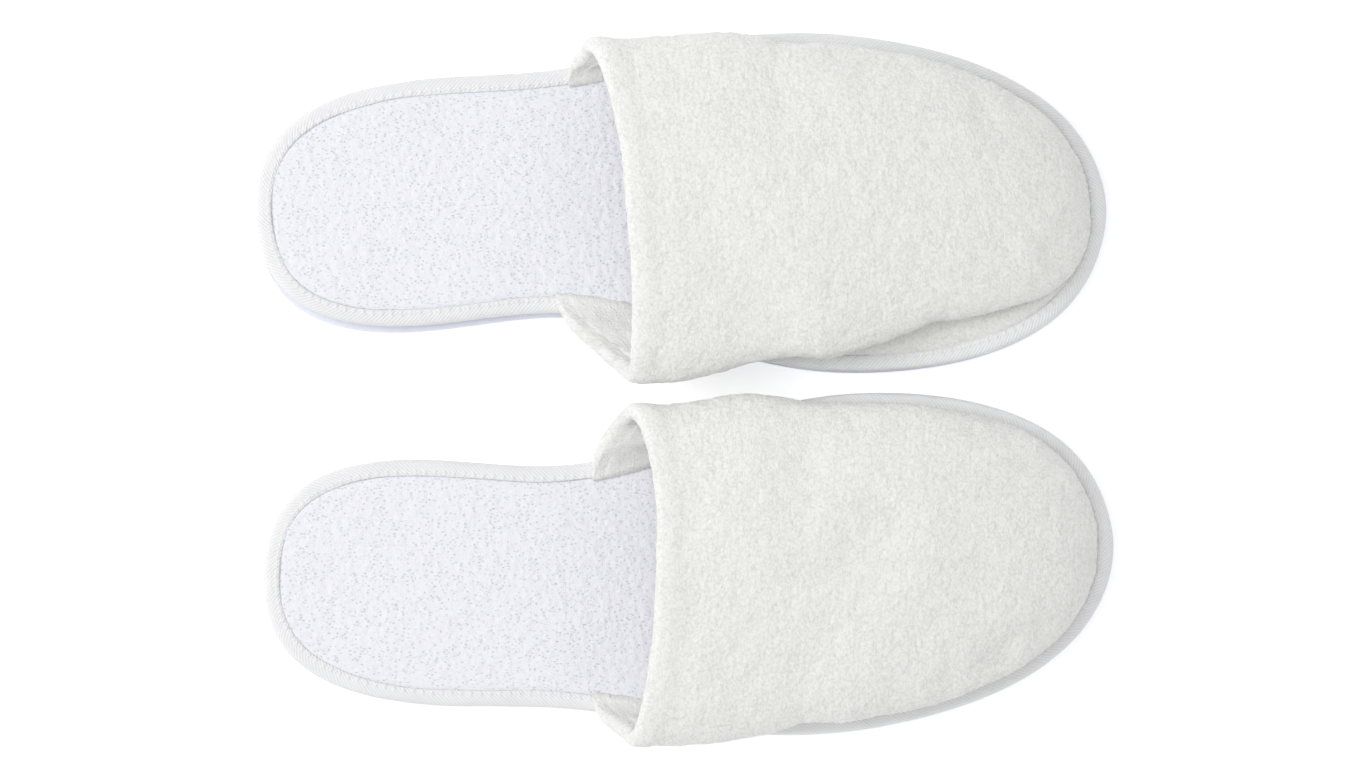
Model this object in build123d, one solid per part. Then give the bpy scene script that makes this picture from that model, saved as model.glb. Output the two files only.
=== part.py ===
from build123d import *
import math
import os

# A pair of closed-toe terry spa slippers lying side by side, toes towards +X, the left one on the +Y side.
# Each slipper is drawn once in its own frame: heel at x = 0, toe towards +X, inner (big toe) side at +Y.
# All sizes are in millimetres.

# Plan of the sole
SOLE_LENGTH = 285.0
HEEL_HALF_WIDTH = 41.0
BALL_INNER_REACH = 68.6     # from the slipper's axis to the inner edge at the ball of the foot
BALL_OUTER_REACH = 47.6     # from the axis to the outer edge
TOE_TIP_REACH = 18.0        # the toe tip lies this far to the inner side of the axis

# Layers of the sole, from the floor up
OUTSOLE_THICKNESS = 4.0
BASE_CLOTH_THICKNESS = 0.6
SOLE_FOAM_THICKNESS = 4.0
FOOTBED_THICKNESS = 2.0
OUTSOLE_SETBACK = 0.4       # the outsole is cut this much smaller than the bound edge

# Edge binding and its seam
TAPE_THICKNESS = 0.8
TAPE_TOP_WIDTH = 5.5
TAPE_BOTTOM_WIDTH = 5.0
TAPE_FOLD = 0.6             # the tape's corners are turned in by this much
STITCH_PITCH = 3.3
STITCH_LENGTH = 2.4
THREAD_DIAMETER = 0.5
SEAM_FROM_TAPE_EDGE = 1.2
CLOTH_CLEARANCE = 0.3       # between the edges of cloth pieces that lie side by side

# Vamp: terry outside, foam, smooth lining inside
TERRY_THICKNESS = 2.5
VAMP_FOAM_THICKNESS = 2.0
LINING_THICKNESS = 1.0
TERRY_MARGIN = 1.0          # thickness of the terry where the seam squeezes it
LINING_MARGIN = 0.5
VAMP_HEIGHT = 48.0          # from the floor to the crown of the throat
INNER_FULLNESS = 64.5       # the vamp stands out this far from the axis at the throat, inner side
OUTER_FULLNESS = 50.5
FULLNESS_END = 0.46         # share of the vamp's length over which it draws in to the seam
SIDE_SWELL = 1.5            # how far the sides stand out beyond the seam near the toe
BULGE_LEVEL = 0.42          # height of the widest place, as a share of the crown
RISER_HEIGHT = 1.0          # the vamp rises straight past the tape and its stitches
THROAT_LEAN = 32.0          # degrees that the throat leans towards the toe

# Tread of the outsole
GROOVE_DEPTH = 1.0
GROOVE_WIDTH = 2.0
GROOVE_PITCH = 9.0
TREAD_MARGIN = 9.0

# The two slippers: the side of their big toe, how they lie, where the throat meets the sole,
# and how far the glued outsole is turned on the stitched pack
SLIPPERS = {
    "left": {"mirrored": True, "heel": (0.0, 57.1), "yaw": 4.6, "throat": 104.5, "outsole_turn": 0.6},
    "right": {"mirrored": False, "heel": (2.6, -63.4), "yaw": -1.95, "throat": 111.5, "outsole_turn": 0.0},
}

# Levels above the floor
CLOTH_LEVEL = OUTSOLE_THICKNESS + TAPE_THICKNESS
FOAM_LEVEL = CLOTH_LEVEL + BASE_CLOTH_THICKNESS
FOOTBED_LEVEL = FOAM_LEVEL + SOLE_FOAM_THICKNESS
SEAM_LEVEL = FOOTBED_LEVEL + FOOTBED_THICKNESS
TERRY_FOOT_LEVEL = SEAM_LEVEL - TERRY_MARGIN
LINING_FOOT_LEVEL = TERRY_FOOT_LEVEL - LINING_MARGIN
TAPE_TOP_LEVEL = SEAM_LEVEL + TAPE_THICKNESS
RISER_LEVEL = TAPE_TOP_LEVEL + RISER_HEIGHT

VAMP_THICKNESS = TERRY_THICKNESS + VAMP_FOAM_THICKNESS + LINING_THICKNESS
OUTLINE_STEPS = 30              # even steps along each half of a sole's outline
WELL_OVER = 2 * SOLE_LENGTH     # size of cutting blocks, larger than a slipper
BEHIND_THROAT = 12.0            # the vamp's form starts this far behind its throat and is then cut
VAMP_STATIONS = 11
ARCH_STEPS = 6                  # even steps round a section's arch
BLUNT_TIP = 0.997               # share of the form's length at its last section


def drawn_in(curve, share, inset):
    """A point of a clockwise outline, moved square to the outline towards its inside."""
    ahead = curve.tangent_at(share)
    return curve.position_at(share) + Vector(ahead.Y, -ahead.X) * inset


def sole_outline(inset=0.0):
    """The plan of the bound sole, drawn in by inset, as two smooth halves."""
    inner, outer, heel = BALL_INNER_REACH, BALL_OUTER_REACH, HEEL_HALF_WIDTH
    shape = [
        (0.000, 0.05 * heel),
        (0.049, 0.77 * heel),
        (0.158, 0.99 * heel),
        (0.351, 0.99 * heel),
        (0.491, 0.76 * inner),
        (0.625, 0.95 * inner),
        (0.744, inner),
        (0.860, 0.94 * inner),
        (0.947, 0.75 * inner),
        (1.000, TOE_TIP_REACH),
        (0.965, -0.20 * outer),
        (0.877, -0.62 * outer),
        (0.754, -0.89 * outer),
        (0.596, -outer),
        (0.351, -heel),
        (0.158, -0.99 * heel),
        (0.049, -0.73 * heel),
    ]
    whole = Spline([(share * SOLE_LENGTH, y) for share, y in shape], periodic=True)
    halves = []
    for start in (0.0, 0.5):
        shares = [start + 0.5 * number / OUTLINE_STEPS for number in range(OUTLINE_STEPS + 1)]
        halves.append(Spline([drawn_in(whole, share, inset) for share in shares]))
    return make_face(halves)


def layer(face, level, thickness):
    """A flat layer of the given plan and thickness, lying at a level."""
    return Pos(0, 0, level) * extrude(face, amount=thickness)


def edge_reach(face, x):
    """How far a plan reaches to the outer and inner side at one place along the slipper."""
    box = (face & Pos(x, 0) * Rectangle(0.02, WELL_OVER)).bounding_box()
    return box.min.Y, box.max.Y


def vamp_section(face, x, share, inset):
    """An upright section of the vamp's form: it rises at the seam, stands out and arches over."""
    outer_foot, inner_foot = edge_reach(face, x)
    at_seam = min(1.0, share / FULLNESS_END) ** 4
    inner_side = (1 - at_seam) * (INNER_FULLNESS - inset) + at_seam * (inner_foot + SIDE_SWELL)
    outer_side = -(1 - at_seam) * (OUTER_FULLNESS - inset) + at_seam * (outer_foot - SIDE_SWELL)
    crown = (VAMP_HEIGHT - RISER_LEVEL - inset) * math.sqrt(1 - share**2)
    bulge = BULGE_LEVEL * crown
    middle = (inner_side + outer_side) / 2
    half_width = (inner_side - outer_side) / 2
    arch = [
        (middle + half_width * math.cos(turn), RISER_LEVEL + bulge + (crown - bulge) * math.sin(turn))
        for turn in (math.pi * step / ARCH_STEPS for step in range(ARCH_STEPS + 1))
    ]
    feet = [(inner_foot, RISER_LEVEL), (outer_foot, RISER_LEVEL)]
    bottom = [(inner_foot, LINING_FOOT_LEVEL), (outer_foot, LINING_FOOT_LEVEL)]
    curve = Spline([feet[0], *arch, feet[1]])
    sides = [Line(bottom[0], feet[0]), Line(feet[1], bottom[1]), Line(bottom[1], bottom[0])]
    upright = Plane(origin=(x, 0, 0), x_dir=(0, 1, 0), z_dir=(1, 0, 0))
    return upright * make_face([curve, *sides])


def vamp_form(throat, inset):
    """The solid bounded by a surface of the vamp that lies inset inside its outer face."""
    face = sole_outline(TAPE_TOP_WIDTH + inset)
    start = throat - BEHIND_THROAT
    end = face.bounding_box().max.X
    sections = []
    for number in range(VAMP_STATIONS):
        share = BLUNT_TIP * math.sin(math.pi / 2 * number / (VAMP_STATIONS - 1))
        sections.append(vamp_section(face, start + share * (end - start), share, inset))
    return loft(sections)


def ahead_of_throat(throat, set_back=0.0):
    """The space on the toe side of the leaning throat, moved towards the toe by set_back."""
    block = Box(WELL_OVER, WELL_OVER, WELL_OVER, align=(Align.MIN, Align.CENTER, Align.CENTER))
    return Pos(throat + set_back, 0, SEAM_LEVEL) * Rot(0, THROAT_LEAN, 0) * block


def margin(throat, inset, level, thickness):
    """A flat margin of the vamp, caught under the tape, from the tape's wall to inset inside the seam."""
    ring = sole_outline(TAPE_THICKNESS) - sole_outline(TAPE_TOP_WIDTH + inset)
    block = Box(WELL_OVER, WELL_OVER, WELL_OVER, align=(Align.MIN, Align.CENTER, Align.CENTER))
    return layer(ring, level, thickness) & Pos(throat, 0, 0) * block


def above(level):
    """The space above a level."""
    block = Box(WELL_OVER, WELL_OVER, WELL_OVER, align=(Align.CENTER, Align.CENTER, Align.MIN))
    return Pos(0, 0, level) * block


def make_outsole(turn):
    """Foam rubber outsole: a slab with a raised pad that fills the opening of the tape below the pack."""
    slab = layer(sole_outline(OUTSOLE_SETBACK), 0, OUTSOLE_THICKNESS)
    tread = sole_outline(TREAD_MARGIN)
    for number in range(1, int(SOLE_LENGTH / GROOVE_PITCH)):
        groove = tread & Pos(number * GROOVE_PITCH, 0) * Rectangle(GROOVE_WIDTH, WELL_OVER)
        if groove.area > GROOVE_WIDTH**2:
            slab -= layer(groove, 0, GROOVE_DEPTH)
    slab = Pos(SOLE_LENGTH, 0, 0) * Rot(0, 0, -turn) * Pos(-SOLE_LENGTH, 0, 0) * slab
    return slab + layer(sole_outline(TAPE_BOTTOM_WIDTH), OUTSOLE_THICKNESS, TAPE_THICKNESS)


def make_binding():
    """Folded tape round the whole edge: a wall with a flange above and a flange below."""
    lower_fold = OUTSOLE_THICKNESS + TAPE_FOLD
    upper_fold = TAPE_TOP_LEVEL - TAPE_FOLD
    edge, flange = sole_outline(), sole_outline(TAPE_FOLD)
    body = layer(edge, lower_fold, upper_fold - lower_fold)
    body += loft([Pos(0, 0, OUTSOLE_THICKNESS) * flange, Pos(0, 0, lower_fold) * edge])
    body += loft([Pos(0, 0, upper_fold) * edge, Pos(0, 0, TAPE_TOP_LEVEL) * flange])
    body -= layer(sole_outline(TAPE_THICKNESS), CLOTH_LEVEL, SEAM_LEVEL - CLOTH_LEVEL)
    body -= layer(sole_outline(TAPE_BOTTOM_WIDTH), OUTSOLE_THICKNESS, TAPE_THICKNESS)
    body -= layer(sole_outline(TAPE_TOP_WIDTH - CLOTH_CLEARANCE), SEAM_LEVEL, TAPE_THICKNESS)
    return body


def make_stitches():
    """The lockstitches that show on the tape, one short rounded run of thread each."""
    seam = sole_outline(TAPE_TOP_WIDTH - SEAM_FROM_TAPE_EDGE).face().outer_wire()
    count = round(seam.length / STITCH_PITCH)
    stitches = []
    for number in range(count):
        place = seam.location_at(number / count)
        direction = seam.tangent_at(number / count)
        level = TAPE_TOP_LEVEL + THREAD_DIAMETER / 2
        lying = Plane(origin=(place.position.X, place.position.Y, level), z_dir=direction)
        stitches.append(lying * Cylinder(THREAD_DIAMETER / 2, STITCH_LENGTH))
    return Compound(stitches)


def make_slipper(throat, outsole_turn):
    """Every piece of one slipper in the slipper's own frame, by name."""
    inside_tape = sole_outline(TAPE_THICKNESS)
    terry_depth = TERRY_THICKNESS
    foam_depth = TERRY_THICKNESS + VAMP_FOAM_THICKNESS
    skin = vamp_form(throat, 0)
    under_terry = vamp_form(throat, terry_depth)
    under_foam = vamp_form(throat, foam_depth)
    hollow = vamp_form(throat, VAMP_THICKNESS)

    foam = (under_terry - under_foam) & above(SEAM_LEVEL)
    foam &= ahead_of_throat(throat, TERRY_THICKNESS)
    lining = (under_foam - hollow) & ahead_of_throat(throat)
    lining += margin(throat, VAMP_THICKNESS - CLOTH_CLEARANCE, LINING_FOOT_LEVEL, LINING_MARGIN)
    terry = (skin - under_foam) & above(TERRY_FOOT_LEVEL) & ahead_of_throat(throat)
    terry -= foam
    terry += margin(throat, foam_depth - CLOTH_CLEARANCE, TERRY_FOOT_LEVEL, TERRY_MARGIN)

    footbed = layer(inside_tape, FOOTBED_LEVEL, FOOTBED_THICKNESS)
    recess_depth = TERRY_MARGIN + LINING_MARGIN
    recess = margin(throat, VAMP_THICKNESS + CLOTH_CLEARANCE, LINING_FOOT_LEVEL, recess_depth)
    footbed -= Pos(-CLOTH_CLEARANCE, 0, 0) * recess
    footbed -= recess

    return {
        "outsole": make_outsole(outsole_turn),
        "base_cloth": layer(inside_tape, CLOTH_LEVEL, BASE_CLOTH_THICKNESS),
        "sole_foam": layer(inside_tape, FOAM_LEVEL, SOLE_FOAM_THICKNESS),
        "footbed_terry": footbed,
        "edge_binding": make_binding(),
        "edge_stitches": make_stitches(),
        "vamp_terry": terry,
        "vamp_foam": foam,
        "vamp_lining": lining,
    }


def place_pair():
    """Both slippers lying on the floor, moved so that the pair is centred on the origin."""
    pieces = {}
    for side, slipper in SLIPPERS.items():
        place = Pos(*slipper["heel"], 0) * Rot(0, 0, slipper["yaw"])
        for name, piece in make_slipper(slipper["throat"], slipper["outsole_turn"]).items():
            if slipper["mirrored"]:
                piece = mirror(piece, about=Plane.XZ)
            pieces[f"{side}_{name}"] = place * piece
    solids = [solid for piece in pieces.values() for solid in piece.solids()]
    box = Compound(solids).bounding_box()
    centre = box.center()
    to_origin = Pos(-centre.X, -centre.Y, -box.min.Z)
    return {name: to_origin * piece for name, piece in pieces.items()}


os.makedirs("parts", exist_ok=True)
for name, piece in place_pair().items():
    export_step(piece, f"parts/{name}.step")
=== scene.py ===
import bpy
import bmesh
import math
import numpy as np
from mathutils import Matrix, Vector


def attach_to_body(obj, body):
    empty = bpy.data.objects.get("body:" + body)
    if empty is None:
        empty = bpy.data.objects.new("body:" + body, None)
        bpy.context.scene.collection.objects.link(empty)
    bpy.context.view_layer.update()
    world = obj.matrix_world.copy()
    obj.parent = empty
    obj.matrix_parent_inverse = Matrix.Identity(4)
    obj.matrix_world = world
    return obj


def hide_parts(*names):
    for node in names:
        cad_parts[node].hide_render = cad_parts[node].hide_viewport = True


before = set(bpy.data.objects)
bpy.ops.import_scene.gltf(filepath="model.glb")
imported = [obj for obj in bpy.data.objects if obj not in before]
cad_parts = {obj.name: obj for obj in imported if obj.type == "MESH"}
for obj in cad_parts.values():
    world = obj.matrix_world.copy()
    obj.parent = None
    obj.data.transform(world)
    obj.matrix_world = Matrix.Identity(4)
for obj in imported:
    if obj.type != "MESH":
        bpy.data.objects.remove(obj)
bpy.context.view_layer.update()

# A pair of closed-toe terry spa slippers. Each is made in its own plan: x from the heel towards the toe,
# y towards the big toe side, z up from the floor. Lengths are in millimetres until a mesh is made, and the
# studio is in metres.

MM = 0.001

# How each slipper lies, and the small differences of hand sewing between the two
SLIPPERS = {
    "left": {
        "mirrored": True,
        "yaw": 4.6,                              # degrees that it lies turned
        "throat": 104.5,                         # x near the throat's foot, from which the form is laid out
        "throat_top": 127.4,                     # x of the throat's edge at the crown
        "throat_inner": (98.5, 122.5),           # x at the seam and at the widest place of the side
        "throat_outer": (108.5, 117.5),
        "inner_fullness": (5.5, 138.0, 18.0),    # how far the side stands out more, where, and how widely
        "outer_fullness": (-4.2, 132.0, 18.0),
        "crease": 10.5,                          # how far the vamp is pressed in along CREASE
        "seed": 11,
    },
    "right": {
        "mirrored": False,
        "yaw": -1.95,
        "throat": 111.5,
        "throat_top": 134.7,
        "throat_inner": (109.5, 121.8),
        "throat_outer": (112.0, 126.0),
        "inner_fullness": (5.5, 163.0, 13.0),
        "outer_fullness": (-1.5, 165.0, 20.0),
        "crease": 0.0,
        "seed": 23,
    },
}

# Levels and widths of the stitched sole pack
TAPE = 0.8                    # thickness of the binding tape, which is round the foam of the sole
TAPE_TOP_WIDTH = 5.5
TAPE_BOTTOM_WIDTH = 5.0
TAPE_BOTTOM = 4.0             # the tape's lower flange lies on the outsole
SEAM_LEVEL = 11.4
TAPE_TOP = SEAM_LEVEL + TAPE
TAPE_ROWS = 43                # rows of points across the folded tape
TAPE_SMOOTHING = 2
HEEL_AXIS = 2.05              # the heel's end lies this far to the inner side of the axis
RIM_STEP = 0.35               # spacing of the points along the sole's outline
RIM_SMOOTHING = 60

# The row of stitches on the tape
STITCH_PITCH = 3.3
STITCH_LENGTH = 2.4
STITCH_INSET = TAPE_TOP_WIDTH - 1.2
THREAD = 0.55
THREAD_SIDES = 6
STITCH_RINGS = 7              # rings of points along each stitch

# The footbed
FOOTBED_STEP = 0.62           # spacing of its mesh
FOOTBED_MARGIN = 3.6          # it ends under the tape, this far in from the sole's outline

# The form of the vamp
CROWN = 47.2                  # height of the crown at the throat
RISER = TAPE_TOP + 0.6        # the cloth leans outwards from here
INNER_FULLNESS = 64.2         # it stands out this far from the axis at the throat, on the inner side
OUTER_FULLNESS = 50.2         # and on the outer side
FULLNESS_END = 0.46           # share of the vamp's length over which its sides draw in to the seam
SIDE_SWELL = 1.5              # the sides stand out this far beyond the seam near the toe
BULGE_LEVEL = 0.42            # height of the widest place, as a share of the crown
TUCK = 1.6                    # the cloth runs on this far under the tape
THROAT_CORNER = 1.4           # above 1 the throat's edge leaves its seam steeply, with a blunt corner
THROAT_SMOOTHING = 60         # passes that round the throat's edge where it turns
THROAT_LEVELS_OFF = 1.5       # the edge runs straight over the top from this far below the crown
CREASE = (186.0, 276.0)       # along the toe's inner side the vamp may lie flat beside its seam
FORM_START = 12.0             # the form starts this far behind the throat

# The padded cloth of the vamp
PADDING = 5.6                 # thickness of terry, foam and lining together
SEWN = 0.9                    # and where the seam presses them flat
PRESSED = 15.0                # they are at their full thickness from this far beside the seam
CLOTH_STEP = 0.62             # spacing of the terry's mesh
LINING_STEP = 1.1
FOAM_STEP = 3.0
CLOTH_HALF = 125.0            # more than half the girth of the vamp
EDGE_BEAD = ((0.5, 2.5, 3.0), (-0.2, 9.0, 3.5))    # height, place and width of the edge's bead and its dip
ROLL_STEPS = 12               # rows of terry round the rolled edge
ROLL_SMOOTHING = 20           # passes that even out its direction
ROWS_INSIDE = 8               # and on the inside of it
LINING_START = 1.5            # the lining starts this far inside the edge
LINING_TUCK = 1.8             # and ends this far from the seam at the sides
LINING_TOE = 4.0              # and at the toe
FOAM_START = 9.0              # the foam starts this far inside the edge
FOAM_MARGIN = 12.0            # and ends this far from the seam
FOAM_THICKNESS = 1.2
FOAM_DEPTH = 0.55             # its middle lies this share of the padding's thickness below the outer face

# How the cloth settles
SETTLING_STEP = 5.0           # spacing of the simulated cloth
SETTLING_FRAMES = 20
SWELLING_BLUR = 14            # moves that are still there after this much smoothing are swelling, not folds
MOST_SETTLING = 1.4
PINNED = 4.0                  # the cloth is held this close to its seam
FOLDS = (3.0, 25.0)           # distances from the seam at which the folds begin and are full

# The view from straight above, in metres
CAMERA_HEIGHT = 5.0
VIEW_CENTRE = (-0.0005, 0.0012)
VIEW_WIDTH = 0.4594
SENSOR_WIDTH = 36.0


def fabric_noise(across, along, size, seed):
    """Smooth random heights between -1 and 1 with lumps about size wide."""
    table = np.random.default_rng(seed).uniform(-1, 1, (256, 256))
    a, b = across / size + 1000.0, along / size + 1000.0
    i, j = np.floor(a).astype(int), np.floor(b).astype(int)
    u, v = a - i, b - j
    u, v = u * u * (3 - 2 * u), v * v * (3 - 2 * v)
    near = table[i % 256, j % 256] * (1 - u) + table[(i + 1) % 256, j % 256] * u
    far = table[i % 256, (j + 1) % 256] * (1 - u) + table[(i + 1) % 256, (j + 1) % 256] * u
    return near * (1 - v) + far * v


def smooth_step(value, low, high):
    """0 below low, 1 above high, and smooth in between."""
    share = np.clip((value - low) / (high - low), 0, 1)
    return share * share * (3 - 2 * share)


def smoothed(row, times):
    """A row of values or points smoothed along it, with its two ends kept."""
    row = row.copy()
    for _ in range(times):
        row[1:-1] = (row[:-2] + 2 * row[1:-1] + row[2:]) / 4
    return row


class Slipper:
    """The plan of one slipper, read from the frame, and the way back to the frame."""

    def __init__(self, side):
        facts = SLIPPERS[side]
        self.side, self.facts, self.seed = side, facts, facts["seed"]
        self.flip = -1 if facts["mirrored"] else 1
        self.yaw = math.radians(facts["yaw"])
        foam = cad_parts[f"{side}_sole_foam"].data
        points = np.array([vertex.co[:] for vertex in foam.vertices]) / MM
        rim = points[points[:, 2] > points[:, 2].max() - 0.01][:, :2]
        cos, sin = math.cos(self.yaw), math.sin(self.yaw)
        rim = rim @ np.array([[cos, -sin], [sin, cos]]) * (1, self.flip)
        heel = rim[rim[:, 0].argmin()]
        self.origin = heel - (TAPE, HEEL_AXIS)
        rim = rim - self.origin
        middle = rim.mean(axis=0)
        angle = np.arctan2(rim[:, 1] - middle[1], rim[:, 0] - middle[0])
        rim = rim[np.argsort(-angle)]
        self.rim, self.inward, self.length = self.even_rim(rim)
        self.rim = self.rim - self.inward * TAPE

    def even_rim(self, rim):
        """The rim as evenly spaced points from the heel round the inner side, with their inward normals."""
        rim = np.roll(rim, -rim[:, 0].argmin(), axis=0)
        keep = np.linalg.norm(rim - np.roll(rim, 1, axis=0), axis=1) > 0.02
        rim = rim[keep]
        loop = np.vstack([rim, rim[:1]])
        run = np.concatenate([[0], np.cumsum(np.linalg.norm(np.diff(loop, axis=0), axis=1))])
        count = int(run[-1] / RIM_STEP)
        even = np.linspace(0, run[-1], count, endpoint=False)
        points = np.stack([np.interp(even, run, loop[:, k]) for k in range(2)], axis=1)
        for _ in range(RIM_SMOOTHING):
            points = (np.roll(points, 1, axis=0) + 2 * points + np.roll(points, -1, axis=0)) / 4
        ahead = np.roll(points, -1, axis=0) - np.roll(points, 1, axis=0)
        ahead /= np.linalg.norm(ahead, axis=1)[:, None]
        return points, np.stack([ahead[:, 1], -ahead[:, 0]], axis=1), run[-1]

    def reach(self, x, inset):
        """The inner and outer y of the rim drawn in by inset, at each x."""
        loop = self.rim + self.inward * inset
        tip = loop[:, 0].argmax()
        inner, outer = loop[: tip + 1], np.vstack([loop[tip:], loop[:1]])[::-1]
        return np.interp(x, inner[:, 0], inner[:, 1]), np.interp(x, outer[:, 0], outer[:, 1])

    def tip(self, inset):
        """The furthest x of the rim drawn in by inset."""
        return (self.rim + self.inward * inset)[:, 0].max()

    def to_frame(self, points):
        """Points of the slipper's plan, in metres in the frame."""
        flat = (points[..., :2] + self.origin) * (1, self.flip)
        cos, sin = math.cos(self.yaw), math.sin(self.yaw)
        x = flat[..., 0] * cos - flat[..., 1] * sin
        y = flat[..., 0] * sin + flat[..., 1] * cos
        return np.stack([x, y, points[..., 2]], axis=-1) * MM

    def moves_in_plan(self, moves):
        """Moves in metres in the frame, as moves in the slipper's plan."""
        cos, sin = math.cos(self.yaw), math.sin(self.yaw)
        x = moves[..., 0] * cos + moves[..., 1] * sin
        y = (moves[..., 1] * cos - moves[..., 0] * sin) * self.flip
        return np.stack([x, y, moves[..., 2]], axis=-1) / MM


def grid_faces(rows, columns, wanted=None):
    """Quads of a grid of points, only those whose corners are all wanted."""
    index = np.arange(rows * columns).reshape(rows, columns)
    quads = np.stack([index[:-1, :-1], index[:-1, 1:], index[1:, 1:], index[1:, :-1]], axis=-1)
    if wanted is not None:
        quads = quads[wanted]
    return quads.reshape(-1, 4)


def make_piece(name, slipper, points, faces, material, coordinates=None):
    """A smooth mesh piece. coordinates, in mm, lie along and across its cloth and become its UV map."""
    if slipper.flip < 0:
        faces = faces[:, ::-1]
    used = np.unique(faces)
    renumber = np.full(len(points), -1)
    renumber[used] = np.arange(len(used))
    mesh = bpy.data.meshes.new(name)
    mesh.from_pydata(slipper.to_frame(points[used]).tolist(), [], renumber[faces].tolist())
    if coordinates is not None:
        layer = mesh.uv_layers.new(name="cloth")
        corner_vertices = np.empty(len(mesh.loops), dtype=int)
        mesh.loops.foreach_get("vertex_index", corner_vertices)
        layer.data.foreach_set("uv", (coordinates[used][corner_vertices] * MM).ravel())
    mesh.polygons.foreach_set("use_smooth", np.ones(len(mesh.polygons), dtype=bool))
    mesh.materials.append(material)
    work = bmesh.new()
    work.from_mesh(mesh)
    bmesh.ops.dissolve_degenerate(work, dist=1e-6, edges=work.edges)
    bmesh.ops.remove_doubles(work, verts=work.verts, dist=2e-6)
    work.to_mesh(mesh)
    work.free()
    piece = bpy.data.objects.new(name, mesh)
    bpy.context.scene.collection.objects.link(piece)
    return piece


def attach(piece, side, node):
    """The piece stands in for its CAD node, which is hidden, and moves with its slipper."""
    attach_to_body(piece, f"{side}_slipper")
    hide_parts(f"{side}_{node}")


# ---------------------------------------------------------------- materials


def colour(code):
    """An sRGB hex colour as linear red, green, blue and alpha."""
    parts = [int(code[k : k + 2], 16) / 255 for k in (1, 3, 5)]
    return [p / 12.92 if p <= 0.04045 else ((p + 0.055) / 1.055) ** 2.4 for p in parts] + [1.0]


def add(tree, kind, settings=None, links=None):
    """Adds a node, sets its properties and inputs, and links inputs to other nodes' outputs."""
    node = tree.nodes.new(kind)
    for key, value in (settings or {}).items():
        if isinstance(key, str) and key not in node.inputs:
            setattr(node, key, value)
        else:
            node.inputs[key].default_value = value
    for key, source in (links or {}).items():
        tree.links.new(source, node.inputs[key])
    return node


def matt_finish(name, dark, light, patch, roughness, sheen, relief, pit_shade):
    """A matt finish between dark and light: patches of tone of the given size, and painted shade in the
    pits where its relief is low.
    """
    material = bpy.data.materials.new(name)
    material.use_nodes = True
    tree = material.node_tree
    shader = tree.nodes["Principled BSDF"]
    shader.inputs["Roughness"].default_value = roughness
    shader.inputs["Sheen Weight"].default_value = sheen
    shader.inputs["Sheen Roughness"].default_value = 0.6
    shader.inputs["Specular IOR Level"].default_value = 0.2
    place = add(tree, "ShaderNodeTexCoord")
    height, strength, depth = relief(tree, place)
    drift = add(
        tree,
        "ShaderNodeTexNoise",
        {"Scale": 1 / (patch * MM), "Detail": 3.0},
        {"Vector": place.outputs["Object"]},
    )
    # painted shade: the colour darkens where the relief is low, standing in for shade in the pits between
    # loops, ribs and cells
    shaded_pits = add(tree, "ShaderNodeMath", {"operation": "MULTIPLY", 1: pit_shade}, {0: height})
    shade = add(
        tree,
        "ShaderNodeMath",
        {"operation": "MULTIPLY_ADD", 1: 1 - pit_shade},
        {0: drift.outputs["Fac"], 2: shaded_pits.outputs[0]},
    )
    ramp = add(tree, "ShaderNodeValToRGB", links={"Fac": shade.outputs[0]})
    ramp.color_ramp.elements[0].position = 0.25
    ramp.color_ramp.elements[0].color = colour(dark)
    ramp.color_ramp.elements[1].position = 0.75
    ramp.color_ramp.elements[1].color = colour(light)
    tree.links.new(ramp.outputs["Color"], shader.inputs["Base Color"])
    bump = add(tree, "ShaderNodeBump", {"Strength": strength, "Distance": depth * MM}, {"Height": height})
    tree.links.new(bump.outputs["Normal"], shader.inputs["Normal"])
    return material


def wandering(tree, place, lump):
    """The cloth's coordinates, drawn a little out of true over lumps of the given size."""
    cloth = place.outputs["UV"]
    wander = add(tree, "ShaderNodeTexNoise", {"Scale": 1 / (lump * MM), "Detail": 2.0}, {"Vector": cloth})
    furthest = {"operation": "SCALE", "Scale": 1.5 * MM}
    shift = add(tree, "ShaderNodeVectorMath", furthest, {0: wander.outputs["Color"]})
    moved = add(tree, "ShaderNodeVectorMath", {"operation": "ADD"}, {0: cloth, 1: shift.outputs[0]})
    return moved.outputs[0]


def brushed_pile(tuft, fibre):
    """Relief of brushed terry: tufts of loops with fibre combed across them."""

    def relief(tree, place):
        moved = wandering(tree, place, 4)
        combed = add(tree, "ShaderNodeMapping", {"Scale": (1.0, 0.45, 1.0)}, {"Vector": moved})
        tufts = add(tree, "ShaderNodeTexVoronoi", {"Scale": 1 / (tuft * MM)}, {"Vector": moved})
        fibres = add(
            tree,
            "ShaderNodeTexNoise",
            {"Scale": 1 / (fibre * MM), "Detail": 4.0, "Roughness": 0.7},
            {"Vector": combed.outputs[0]},
        )
        tops = add(
            tree,
            "ShaderNodeMath",
            {"operation": "MULTIPLY_ADD", 1: -0.45, 2: 0.45},
            {0: tufts.outputs["Distance"]},
        )
        both = add(
            tree, "ShaderNodeMath", {"operation": "ADD"}, {0: fibres.outputs["Fac"], 1: tops.outputs[0]}
        )
        return both.outputs[0], 0.75, 0.7

    return relief


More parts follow.
